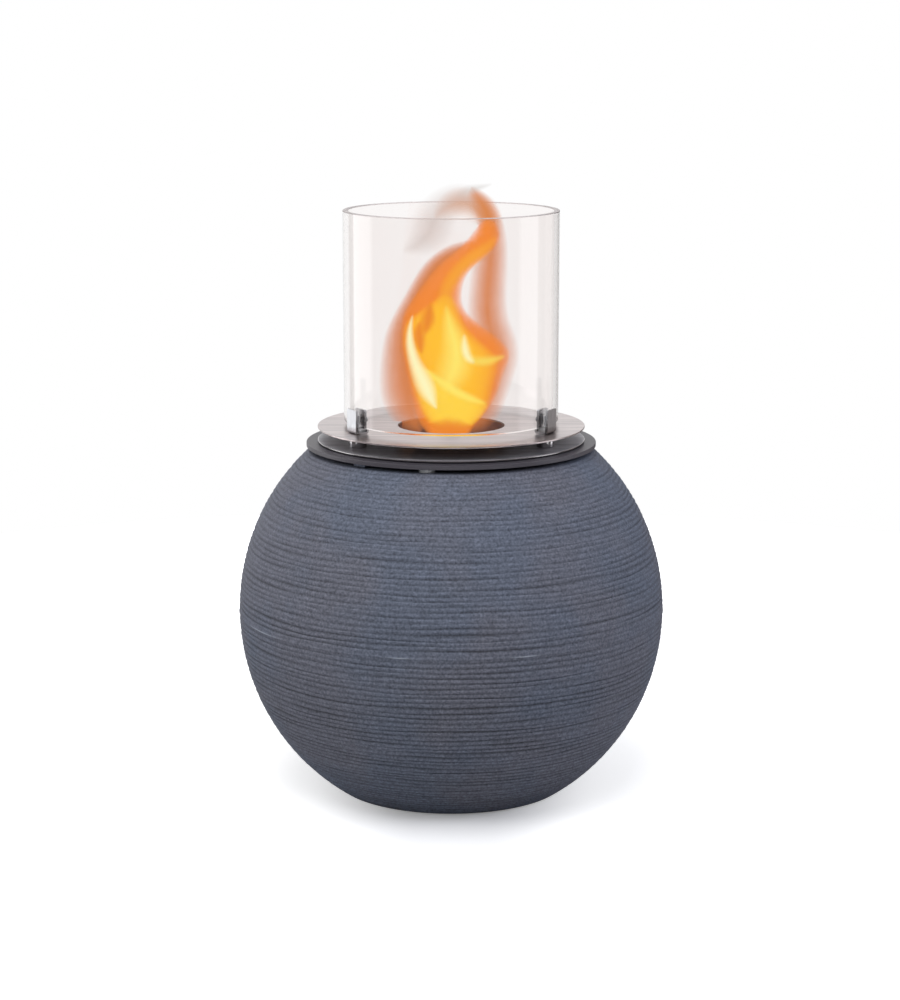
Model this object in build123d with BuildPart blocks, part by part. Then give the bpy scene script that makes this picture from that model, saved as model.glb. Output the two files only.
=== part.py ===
"""Bioethanol fireplace: a ribbed globe that carries a burner with a glass cylinder around its flame.

Lengths are in millimetres, +Z is up and the front faces -Y. The origin is the centre of the flat
base, on the floor.
"""

import os
from math import acos, asin, cos, radians, sin, sqrt

from build123d import *

os.makedirs("parts", exist_ok=True)

# Globe: a moulded hollow shell, slightly taller than a ball
globe_radius = 200.0
globe_half_height = 203.0
base_radius = 107.0
shoulder_radius = 132.0
mouth_radius = 115.0
lip_thickness = 6.0
least_wall = 4.0
seam_band_height = 53.0
rib_pitch = 55.0
rib_step = 1.2
flank_bulge = 1.7
straight_share = 0.35

# Supports on the shoulder, which leave a dark gap under the cover plate
gap_under_cover = 3.6
lug_width = 13.5
lug_length = 9.0
lug_edge_inset = 1.5
lug_turn = -39.5
bumper_diameter = 15.0
bumper_turn = -10.0

# Cover plate with the tabs that centre it in the globe's mouth
cover_radius = 135.6
cover_thickness = 4.0
cup_clearance_in_cover = 1.0
tab_width = 22.0
tab_sheet = 1.5
tab_drop = 16.0
tab_clearance = 1.3

# Burner: a polished flange below, a brushed disc above, and a cup through both
flange_radius = 125.0
flange_sheet = 1.2
flange_pad_length = 18.0
flange_pad_width = 8.0
flange_pad_thickness = 1.0
flange_pad_radius = 108.0
cup_clearance_in_flange = 1.0
standoff_diameter = 16.0
standoff_length = 11.2
disc_radius = 125.0
disc_sheet = 1.5
cup_bore_radius = 50.0
cup_sheet = 0.8
cup_depth = 70.0
fibre_height = 52.0
fibre_clearance = 0.4

# Glass cylinder
glass_radius = 100.3
glass_wall = 5.0
glass_height = 195.0

# Clips: folded strips that stand around the glass, three of them a third of a turn apart
clip_turns = {"front_left": -59.5, "front_right": 60.5, "rear": 180.5}
clip_sheet = 2.0
clip_width = 17.0
clip_height = 22.5
clip_bend_radius = 1.0
clip_corner_cut = 1.0
clip_gap_inside_glass = 0.3
clip_gap_outside_glass = 3.7
rest_pad_thickness = 3.6
rest_pad_end_gap = 0.6
side_pad_size = 10.0
side_pad_clearance = 0.3
side_pad_height = 12.0

# Heights and radii that follow from the sizes above
base_angle = -acos(base_radius / globe_radius)
shoulder_angle = acos(shoulder_radius / globe_radius)
globe_centre = -globe_half_height * sin(base_angle)
shoulder_level = globe_centre + globe_half_height * sin(shoulder_angle)
cover_underside = shoulder_level + gap_under_cover
cover_top = cover_underside + cover_thickness
flange_underside = cover_top + flange_pad_thickness
flange_top = flange_underside + flange_sheet
disc_underside = flange_top + standoff_length
disc_top = disc_underside + disc_sheet
clip_floor = disc_top + clip_sheet
glass_bottom = clip_floor + rest_pad_thickness
cup_radius = cup_bore_radius + cup_sheet
cup_floor = disc_underside - cup_depth + cup_sheet
glass_bore_radius = glass_radius - glass_wall
slot_inner_radius = sqrt((glass_bore_radius - clip_gap_inside_glass) ** 2 - (clip_width / 2) ** 2)
slot_outer_radius = glass_radius + clip_gap_outside_glass
clip_inner_radius = slot_inner_radius - clip_sheet
clip_outer_radius = slot_outer_radius + clip_sheet
clip_radius = (slot_inner_radius + slot_outer_radius) / 2
side_pad_level = disc_top + side_pad_height


def outward(turn, height, radius=0.0):
    """A plane square to the radius at this turn from the front, facing away from the axis."""
    away = Vector(sin(radians(turn)), -cos(radians(turn)), 0)
    return Plane(origin=away * radius + Vector(0, 0, height), x_dir=(away.Y * -1, away.X, 0), z_dir=away)


def level(turn, height, radius):
    """A horizontal plane at this turn and radius, with its X axis pointing away from the axis."""
    away = Vector(sin(radians(turn)), -cos(radians(turn)), 0)
    return Plane(origin=away * radius + Vector(0, 0, height), x_dir=away, z_dir=(0, 0, 1))


def cross_section(turn, height):
    """An upright plane through the axis at this turn: X points outwards and Y points up."""
    away = Vector(sin(radians(turn)), -cos(radians(turn)), 0)
    return Plane(origin=(0, 0, height), x_dir=away, z_dir=(away.Y, -away.X, 0))


def save(piece, name):
    """Labels one finished piece and writes it under its own name."""
    piece.part.label = name
    export_step(piece.part, f"parts/{name}.step")


def half_side(end_angle, band_angle):
    """Corners of the globe's side from a flat end to the middle band, with a level step out at each rib."""
    flanks = round(abs(band_angle - end_angle) * globe_radius / rib_pitch)
    points = [(globe_radius * cos(end_angle), globe_centre + globe_half_height * sin(end_angle))]
    for step in range(1, flanks + 1):
        angle = end_angle + (band_angle - end_angle) * step / flanks
        edge_radius = (globe_radius + flank_bulge) * cos(angle)
        height = globe_centre + (globe_half_height + flank_bulge) * sin(angle)
        points += [(edge_radius - rib_step, height), (edge_radius, height)]
    return points


# Globe shell: the outside is turned from straight flanks that follow the round side. Each course
# overlaps the next like a rib, and all the steps face away from the seam in the middle band, so that
# both halves leave their mould. The hidden inside is a cone, a straight stretch and a cone.
band_angle = asin(seam_band_height / 2 / globe_half_height)
side = half_side(base_angle, -band_angle)
side += reversed(half_side(shoulder_angle, band_angle))
inside_radius = globe_radius - least_wall
straight_half_height = globe_half_height * straight_share
straight_radius = inside_radius * sqrt(1 - straight_share**2)
floor_radius = base_radius + least_wall
third_turns = [0, 120, 240]

with BuildPart() as globe_shell:
    with BuildSketch(Plane.XZ):
        with BuildLine():
            Polyline(
                *side,
                (mouth_radius, shoulder_level),
                (mouth_radius, shoulder_level - lip_thickness),
                (straight_radius, globe_centre + straight_half_height),
                (straight_radius, globe_centre - straight_half_height),
                (floor_radius, lip_thickness),
                (0, lip_thickness),
                (0, 0),
                close=True,
            )
        make_face()
    revolve(axis=Axis.Z)
    lug_middle = shoulder_radius - lug_edge_inset - lug_length / 2
    for turn in third_turns:
        with BuildSketch(level(lug_turn + turn, shoulder_level, lug_middle)):
            Rectangle(lug_length, lug_width)
        extrude(amount=gap_under_cover)
save(globe_shell, "globe_shell")

# Clear bumpers between the shoulder and the cover plate, which stop it from rattling
with BuildPart() as cover_bumpers:
    bumper_middle = (mouth_radius + shoulder_radius) / 2
    for turn in third_turns:
        with BuildSketch(level(bumper_turn + turn, shoulder_level, bumper_middle)):
            Circle(bumper_diameter / 2)
        extrude(amount=gap_under_cover)
save(cover_bumpers, "cover_bumpers")

# Cover plate: a thick ring
with BuildPart() as cover_plate:
    with BuildSketch(Plane.XY.offset(cover_underside)):
        Circle(cover_radius)
        Circle(cup_radius + cup_clearance_in_cover, mode=Mode.SUBTRACT)
    extrude(amount=cover_thickness)
save(cover_plate, "cover_plate")

# Tabs under the cover plate, which reach down inside the globe's mouth
with BuildPart() as cover_tabs:
    tab_face = sqrt((mouth_radius - tab_clearance) ** 2 - (tab_width / 2) ** 2)
    for turn in third_turns:
        with BuildSketch(level(turn, cover_underside, tab_face - tab_sheet / 2)):
            Rectangle(tab_sheet, tab_width)
        extrude(amount=-tab_drop)
save(cover_tabs, "cover_tabs")

# Thin pads that hold the burner's flange off the painted plate
with BuildPart() as flange_pads:
    for turn in third_turns:
        with BuildSketch(level(turn, cover_top, flange_pad_radius)):
            Rectangle(flange_pad_width, flange_pad_length)
        extrude(amount=flange_pad_thickness)
save(flange_pads, "flange_pads")

# Burner flange: the polished lower disc
with BuildPart() as burner_flange:
    with BuildSketch(Plane.XY.offset(flange_underside)):
        Circle(flange_radius)
        Circle(cup_radius + cup_clearance_in_flange, mode=Mode.SUBTRACT)
    extrude(amount=flange_sheet)
save(burner_flange, "burner_flange")

# Top disc: the brushed upper disc, open over the cup
with BuildPart() as top_disc:
    with BuildSketch(Plane.XY.offset(disc_underside)):
        Circle(disc_radius)
        Circle(cup_bore_radius, mode=Mode.SUBTRACT)
    extrude(amount=disc_sheet)
save(top_disc, "top_disc")

# Fuel cup: welded under the top disc and hanging through the flange and the cover plate
with BuildPart() as fuel_cup:
    with BuildSketch(Plane.XY.offset(cup_floor - cup_sheet)):
        Circle(cup_radius)
    extrude(amount=cup_depth)
    with BuildSketch(Plane.XY.offset(cup_floor)):
        Circle(cup_bore_radius)
    extrude(until=Until.LAST, mode=Mode.SUBTRACT)
save(fuel_cup, "fuel_cup")

# Fibre filling that soaks up the fuel in the cup
with BuildPart() as ceramic_fibre:
    with BuildSketch(Plane.XY.offset(cup_floor)):
        Circle(cup_bore_radius - fibre_clearance)
    extrude(amount=fibre_height)
save(ceramic_fibre, "ceramic_fibre")

# Glass cylinder, open at both ends
with BuildPart() as glass_cylinder:
    with BuildSketch(Plane.XY.offset(glass_bottom)):
        Circle(glass_radius)
        Circle(glass_bore_radius, mode=Mode.SUBTRACT)
    extrude(amount=glass_height)
save(glass_cylinder, "glass_cylinder")

# One set for each clip: the turned standoff between the discs, and the folded clip on the disc
for place, turn in clip_turns.items():
    with BuildPart() as standoff:
        with BuildSketch(level(turn, flange_top, clip_radius)):
            Circle(standoff_diameter / 2)
        extrude(amount=standoff_length)
    save(standoff, f"standoff_{place}")

    with BuildPart() as glass_clip:
        with BuildSketch(cross_section(turn, disc_top)):
            with BuildLine():
                FilletPolyline(
                    (clip_inner_radius, clip_height),
                    (clip_inner_radius, 0),
                    (clip_outer_radius, 0),
                    (clip_outer_radius, clip_height),
                    radius=clip_bend_radius + clip_sheet,
                )
                Line((clip_outer_radius, clip_height), (slot_outer_radius, clip_height))
                FilletPolyline(
                    (slot_outer_radius, clip_height),
                    (slot_outer_radius, clip_sheet),
                    (slot_inner_radius, clip_sheet),
                    (slot_inner_radius, clip_height),
                    radius=clip_bend_radius,
                )
                Line((slot_inner_radius, clip_height), (clip_inner_radius, clip_height))
            make_face()
        extrude(amount=clip_width / 2, both=True)
        radius_line = Axis((0, 0, 0), outward(turn, 0).z_dir)
        corners = glass_clip.edges().filter_by(radius_line).group_by(Axis.Z)[-1]
        chamfer(corners, length=clip_corner_cut)
    save(glass_clip, f"glass_clip_{place}")

# Square pads on the clips' outer arms, behind the glass
with BuildPart() as side_pads:
    for turn in clip_turns.values():
        with BuildSketch(outward(turn, side_pad_level, slot_outer_radius)):
            Rectangle(side_pad_size, side_pad_size)
        extrude(amount=-(clip_gap_outside_glass - side_pad_clearance))
save(side_pads, "side_pads")

# Blocks in the bottom of the clips, on which the glass stands
with BuildPart() as rest_pads:
    pad_length = slot_outer_radius - slot_inner_radius - 2 * clip_bend_radius
    pad_width = clip_width - 2 * rest_pad_end_gap
    for turn in clip_turns.values():
        with BuildSketch(level(turn, clip_floor, clip_radius)):
            Rectangle(pad_length, pad_width)
        extrude(amount=rest_pad_thickness)
save(rest_pads, "rest_pads")
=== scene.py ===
# %% [markdown]
# A bioethanol fireplace: a ribbed globe of unglazed ceramic, a steel burner on top of it, and a glass
# cylinder around the flame. The solid model is loaded as a fixed frame, and every piece made here is
# placed from the sizes of that frame, so nothing has to be fitted by eye.

# %% Load the frame and keep its box
import math

import bpy
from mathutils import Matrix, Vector, noise


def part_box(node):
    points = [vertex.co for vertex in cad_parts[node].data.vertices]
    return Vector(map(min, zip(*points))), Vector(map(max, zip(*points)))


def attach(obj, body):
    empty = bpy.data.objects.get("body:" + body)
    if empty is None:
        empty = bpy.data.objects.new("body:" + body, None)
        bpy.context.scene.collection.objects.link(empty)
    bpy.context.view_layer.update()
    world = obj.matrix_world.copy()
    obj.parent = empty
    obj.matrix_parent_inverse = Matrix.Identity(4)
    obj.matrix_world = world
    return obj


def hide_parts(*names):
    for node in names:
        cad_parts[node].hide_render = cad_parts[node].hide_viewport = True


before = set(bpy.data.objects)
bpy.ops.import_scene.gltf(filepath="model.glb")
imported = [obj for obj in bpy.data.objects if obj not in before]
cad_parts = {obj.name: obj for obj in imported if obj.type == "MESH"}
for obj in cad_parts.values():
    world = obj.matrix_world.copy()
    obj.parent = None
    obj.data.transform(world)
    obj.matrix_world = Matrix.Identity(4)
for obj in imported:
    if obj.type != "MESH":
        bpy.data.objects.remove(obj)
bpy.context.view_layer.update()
MM = 0.001
print("the frame has", len(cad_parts), "nodes")

# %% [markdown]
# Blender works in linear light, but a colour is easiest to pick and to read as an sRGB hex value, as on
# a paint chart. One function turns the hex value into linear numbers. Another one adds a shader node
# with its settings and its links, so that a material reads from top to bottom like a recipe.


# %% Colours and shader nodes
def linear(hex_colour):
    """An sRGB hex colour as linear red, green, blue and alpha."""
    shares = [int(hex_colour[i:i + 2], 16) / 255 for i in (1, 3, 5)]
    return [s / 12.92 if s <= 0.04045 else ((s + 0.055) / 1.055) ** 2.4 for s in shares] + [1.0]


def start_material(name):
    """A new material with nothing in it but its output."""
    material = bpy.data.materials.new(name)
    material.use_nodes = True
    tree = material.node_tree
    tree.nodes.clear()
    return material, tree, tree.nodes.new("ShaderNodeOutputMaterial")


def add_node(tree, kind, settings=None, links=None):
    """Adds one shader node, sets its options and sockets, and links its sockets."""
    made = tree.nodes.new(kind)
    for name, value in (settings or {}).items():
        if name == "stops":
            stops = made.color_ramp.elements
            stops.remove(stops[-1])
            stops[0].color = linear(value[0][1])
            for place, colour in value[1:]:
                stops.new(place).color = linear(colour)
        elif isinstance(name, int) or name in made.inputs:
            made.inputs[name].default_value = value
        else:
            setattr(made, name, value)
    for name, source in (links or {}).items():
        tree.links.new(source, made.inputs[name])
    return made


print("slate blue in linear light:", [round(v, 3) for v in linear("#5a6070")])

# %% [markdown]
# Almost everything here is round, so nearly all the meshes are skins over rings of points, as a potter
# stacks coils. The rings may have any shape, as long as they have equal numbers of points.


# %% Rings and skins
def put(name, data):
    """A new object in the scene with this mesh, lamp or camera."""
    made = bpy.data.objects.new(name, data)
    bpy.context.scene.collection.objects.link(made)
    return made


def turns_of(sides):
    """Evenly spaced angles, once around."""
    return [2 * math.pi * k / sides for k in range(sides)]


def level_ring(radius, height, turns, centre=(0, 0)):
    """Points on a level circle."""
    return [Vector((centre[0] + radius * math.cos(a), centre[1] + radius * math.sin(a), height))
            for a in turns]


def skin_piece(name, rings, material, body, closed_loop=False, caps=True, smooth=True):
    """Joins rings with equal numbers of points into one mesh that rides on a body."""
    sides = len(rings[0])
    points = [p for ring in rings for p in ring]
    pairs = [(i, i + 1) for i in range(len(rings) - 1)]
    if closed_loop:
        pairs.append((len(rings) - 1, 0))
    faces = []
    for low, high in pairs:
        for k in range(sides):
            n = (k + 1) % sides
            faces.append((low * sides + k, low * sides + n, high * sides + n, high * sides + k))
    if caps and not closed_loop:
        faces.append(tuple(range(sides))[::-1])
        faces.append(tuple(range((len(rings) - 1) * sides, len(rings) * sides)))
    mesh = bpy.data.meshes.new(name)
    mesh.from_pydata(points, [], faces)
    mesh.validate()
    mesh.materials.append(material)
    if smooth:
        mesh.shade_smooth()
    piece = put(name, mesh)
    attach(piece, body)
    return piece


print("a ring of four points:", [tuple(round(v, 2) for v in p) for p in level_ring(1, 0, turns_of(4))])

# %% [markdown]
# A second helper turns an outline around an upright axis, as a lathe does. A corner in metal or glass is
# never quite sharp: the outline's corners are eased first, because the thin line of light along an edge
# is what makes a part look made.


# %% Turned pieces with eased edges
def eased(corners, ease, steps=4):
    """An outline of (radius, height) corners, each rounded off in steps + 1 points."""
    corners = [Vector(c) for c in corners]
    outline = []
    for before, corner, after in zip(corners[-1:] + corners[:-1], corners, corners[1:] + corners[:1]):
        start = corner + (before - corner).normalized() * ease
        end = corner + (after - corner).normalized() * ease
        for step in range(steps + 1):
            t = step / steps
            outline.append(start.lerp(corner, t).lerp(corner.lerp(end, t), t))
    return outline


def flat_shading_on_flats(piece):
    """Keeps the big flat faces flat where they meet eased edges."""
    weighted = piece.modifiers.new("even_flats", "WEIGHTED_NORMAL")
    weighted.keep_sharp = True
    weighted.weight = 100


def turned_piece(name, outline, material, body, centre=(0, 0), sides=192, ring_shaped=True):
    """Turns an outline of (radius, height) around an upright axis through the centre."""
    turns = turns_of(sides)
    rings = [level_ring(radius, height, turns, centre) for radius, height in outline]
    piece = skin_piece(name, rings, material, body, closed_loop=ring_shaped)
    flat_shading_on_flats(piece)
    return piece


print("a square has", len(eased([(0, 0), (1, 0), (1, 1), (0, 1)], 0.1)), "points once its corners are eased")

# %% [markdown]
# The camera stands where the photographer's did: a little above the burner, 2.3 metres away, looking
# down by eleven degrees. Getting this right first matters more than any material.

# %% Camera
CAMERA_PLACE = (-0.0011, -2.338, 0.7375)      # fitted to the ovals of the discs and of the glass rim
LOOK_DOWN = 11.21      # degrees
FOCAL_LENGTH = 91.0    # millimetres, with a sensor 36 mm wide
camera = put("camera", bpy.data.cameras.new("camera"))
camera.location = CAMERA_PLACE
camera.rotation_euler = (math.radians(90 - LOOK_DOWN), 0, 0)
camera.data.sensor_width = 36.0
camera.data.lens = FOCAL_LENGTH
bpy.context.scene.camera = camera
bpy.context.scene.view_settings.view_transform = "Standard"
print("camera height", round(camera.location.z, 3), "m")

# %% [markdown]
# A product photographer's white studio has one big soft lamp above and in front, and a weaker one at
# each side. The lamps aren't mirrored themselves: what shiny surfaces see comes in the next step.

# %% Soft lamps
BURNER_MIDDLE = (0, 0, 0.33)


def soft_lamp(name, place, width, watts, colour="#ffffff"):
    """A square soft box that looks at the burner and isn't mirrored itself."""
    lamp = bpy.data.lights.new(name, "AREA")
    lamp.shape = "SQUARE"
    lamp.size = width
    lamp.energy = watts
    lamp.color = linear(colour)[:3]
    holder = put(name, lamp)
    holder.location = place
    holder.rotation_euler = (Vector(BURNER_MIDDLE) - Vector(place)).to_track_quat("-Z", "Y").to_euler()
    holder.visible_glossy = holder.visible_transmission = False
    print(name, "gives", watts, "watts")


soft_lamp("lamp_above", (-0.3, -0.9, 2.2), 1.6, 31)
soft_lamp("lamp_left", (-2.0, -0.9, 0.9), 1.0, 12)
soft_lamp("lamp_right", (2.0, -0.9, 1.3), 1.0, 16, "#eef2ff")

# %% [markdown]
# Metal and glass need something to mirror, and a plain white room would make them vanish. So the room is
# dark on the camera's side, has a bright upright strip at either hand with a dark one beside it, and is
# pale behind. It is painted by direction, and only mirror-like reflections see it. Dull surfaces get an
# even fill, and the camera sees white.

# %% World: a room for the reflections
# Walls by direction in degrees: 0 is towards the camera, plus is to the right, 180 is behind.
STUDIO_WALLS = [(-180, "#bcbcbc"), (-140, "#bcbcbc"), (-136, "#2a2827"), (-128, "#2a2827"),
                (-125, "#ffffff"), (-96, "#ffffff"), (-90, "#4c4848"), (74, "#4c4848"), (80, "#e8e8ea"),
                (103, "#e8e8ea"), (106, "#2a2827"), (116, "#2a2827"), (120, "#8a8482"), (132, "#8a8482"),
                (136, "#5a5655"), (160, "#5a5655"), (169, "#bcbcbc"), (180, "#bcbcbc")]
WALL_STRENGTH = 2.0
FILL_STRENGTH = 0.40


def seen_directly(tree, rays):
    """One for what the camera sees, also through glass, and zero for everything else."""
    seen = add_node(tree, "ShaderNodeMath", {"operation": "MAXIMUM"},
                    {0: rays["Is Camera Ray"], 1: rays["Is Transmission Ray"]})
    return seen.outputs[0]


def studio_world():
    """White to the camera, a soft fill to dull surfaces, a room with strips to shiny ones."""
    world = bpy.data.worlds.new("studio")
    bpy.context.scene.world = world
    world.use_nodes = True
    tree = world.node_tree
    tree.nodes.clear()
    rays = add_node(tree, "ShaderNodeLightPath").outputs
    seen = seen_directly(tree, rays)
    way = add_node(tree, "ShaderNodeTexCoord").outputs["Generated"]
    axes = add_node(tree, "ShaderNodeSeparateXYZ", links={"Vector": way})
    forward = add_node(tree, "ShaderNodeMath", {"operation": "MULTIPLY", 1: -1.0}, {0: axes.outputs["Y"]})
    turn = add_node(tree, "ShaderNodeMath", {"operation": "ARCTAN2"},
                    {0: axes.outputs["X"], 1: forward.outputs[0]})
    share = add_node(tree, "ShaderNodeMapRange", {"From Min": -math.pi, "From Max": math.pi},
                     {"Value": turn.outputs[0]})
    stops = [(at / 360 + 0.5, colour) for at, colour in STUDIO_WALLS]
    room = add_node(tree, "ShaderNodeValToRGB", {"stops": stops}, {"Fac": share.outputs[0]})
    walls = add_node(tree, "ShaderNodeBackground", {"Strength": WALL_STRENGTH},
                     {"Color": room.outputs["Color"]})
    fill = add_node(tree, "ShaderNodeBackground", {"Color": linear("#fbfcff"), "Strength": FILL_STRENGTH})
    white = add_node(tree, "ShaderNodeBackground", {"Color": (1, 1, 1, 1), "Strength": 1.0})
    dull = add_node(tree, "ShaderNodeMixShader",
                    links={0: rays["Is Glossy Ray"], 1: fill.outputs[0], 2: walls.outputs[0]})
    both = add_node(tree, "ShaderNodeMixShader", links={0: seen, 1: dull.outputs[0], 2: white.outputs[0]})
    add_node(tree, "ShaderNodeOutputWorld", links={"Surface": both.outputs[0]})


studio_world()
print("the room has", len(STUDIO_WALLS) // 2, "stretches of wall")

# %% [markdown]
# Three white cards stand low in front, a metre away. They are so low that the glass doesn't mirror them
# to the camera, but the pins and the rims below it do, and get their bright bars and lines from them.

# %% Low cards for the rims
CARD_TURNS = ((-30, -17), (-9, 9), (21, 42))     # degrees from the camera's side, plus is to the right
CARD_DISTANCE = 1.0
CARD_HEIGHT = 0.185


def low_card(name, turns):
    """A white card that stands on the floor and that only mirror-like reflections can see."""
    ends = [(CARD_DISTANCE * math.sin(math.radians(a)), -CARD_DISTANCE * math.cos(math.radians(a)))
            for a in turns]
    mesh = bpy.data.meshes.new(name)
    mesh.from_pydata([(*ends[0], 0), (*ends[1], 0), (*ends[1], CARD_HEIGHT), (*ends[0], CARD_HEIGHT)],
                     [], [(0, 1, 2, 3)])
    material, tree, out = start_material("card_white_paint")
    glow = add_node(tree, "ShaderNodeEmission", {"Color": (1, 1, 1, 1), "Strength": WALL_STRENGTH})
    tree.links.new(glow.outputs[0], out.inputs["Surface"])
    mesh.materials.append(material)
    card = put(name, mesh)
    card.visible_camera = card.visible_shadow = False
    card.visible_diffuse = card.visible_transmission = False


for number, turns in enumerate(CARD_TURNS, 1):
    low_card(f"studio_card_{number}", turns)
print(len(CARD_TURNS), "cards,", round(CARD_HEIGHT / MM), "mm high")

# %% [markdown]
# The floor is a sheet of white paper. Near the fireplace it shows the soft shadow that makes the globe
# stand on something. Further out it fades into pure white, so that no edge of the sheet is seen, and at
# both sides it is a little lighter, as if lit from below on a light table.

# %% Floor
FLOOR_RADIUS = 1.3
FLOOR_DROP = 0.0004                 # keeps the sheet just under the foot
FADE_FROM, FADE_TO = 0.2, 0.9       # metres from the middle: from shadow to pure white
ASIDE_FROM, ASIDE_TO = 0.03, 0.14   # metres to either side, where the light from below comes in
ASIDE_LEAST, ASIDE_MOST = 0.18, 0.58


def paper_floor(sides=96):
    """A round white sheet that takes shadows in its middle and fades to white."""
    material, tree, out = start_material("studio_paper")
    seen = seen_directly(tree, add_node(tree, "ShaderNodeLightPath").outputs)
    place = add_node(tree, "ShaderNodeTexCoord").outputs["Object"]
    far = add_node(tree, "ShaderNodeVectorMath", {"operation": "LENGTH"}, {0: place})
    fade = add_node(tree, "ShaderNodeMapRange",
                    {"interpolation_type": "SMOOTHSTEP", "From Min": FADE_FROM, "From Max": FADE_TO},
                    {"Value": far.outputs["Value"]})
    axes = add_node(tree, "ShaderNodeSeparateXYZ", links={"Vector": place})
    aside = add_node(tree, "ShaderNodeMath", {"operation": "ABSOLUTE"}, {0: axes.outputs["X"]})
    # Painted light: the paper glows more towards both sides, as if lit from below, which lightens the shadow
    # there.
    sides_lit = add_node(tree, "ShaderNodeMapRange",
                         {"interpolation_type": "SMOOTHSTEP", "From Min": ASIDE_FROM, "From Max": ASIDE_TO,
                          "To Min": ASIDE_LEAST, "To Max": ASIDE_MOST},
                         {"Value": aside.outputs[0]})
    white = add_node(tree, "ShaderNodeMath", {"operation": "MAXIMUM"},
                     {0: fade.outputs[0], 1: sides_lit.outputs[0]})
    paper = add_node(tree, "ShaderNodeMix",
                     {"data_type": "RGBA", 6: linear("#c8c8ca"), 7: linear("#f6f6f7")}, {0: seen})
    lift = add_node(tree, "ShaderNodeMath", {"operation": "MULTIPLY"}, {0: seen, 1: white.outputs[0]})
    surface = add_node(tree, "ShaderNodeBsdfPrincipled",
                       {"Roughness": 0.9, "Specular IOR Level": 0.0, "Emission Color": (1, 1, 1, 1)},
                       {"Base Color": paper.outputs[2], "Emission Strength": lift.outputs[0]})
    tree.links.new(surface.outputs[0], out.inputs["Surface"])
    mesh = bpy.data.meshes.new("studio_floor")
    mesh.from_pydata(level_ring(FLOOR_RADIUS, 0, turns_of(sides)), [], [tuple(range(sides))])
    mesh.materials.append(material)
    floor = put("studio_floor", mesh)
    floor.location.z = -FLOOR_DROP
    print("the sheet is", 2 * FLOOR_RADIUS, "m across")


paper_floor()

# %% [markdown]
# The globe is slip-cast ceramic left unglazed, so it is dull all over and takes light softly. Its finish
# is the colour of the clay body with fine sand in it: tiny paler and darker grains and a slow drift of tone
# from bluish to brownish. The grooves are real geometry, and each point of the mesh carries how deep it
# lies, so that a painted shade can darken the colour in the grooves. Along the mould line a second value
# makes the seam paler in a few places, for scuffs together with a painted highlight.

# %% Material: unglazed ceramic
GRAIN = 2.2 * MM       # sand in the clay, drawn a little coarser than real so that it shows
WIPE_MARKS = 9 * MM    # faint marks along the ribs, from the sponge
DRIFT = 90 * MM        # slow change of tone over the globe


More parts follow.
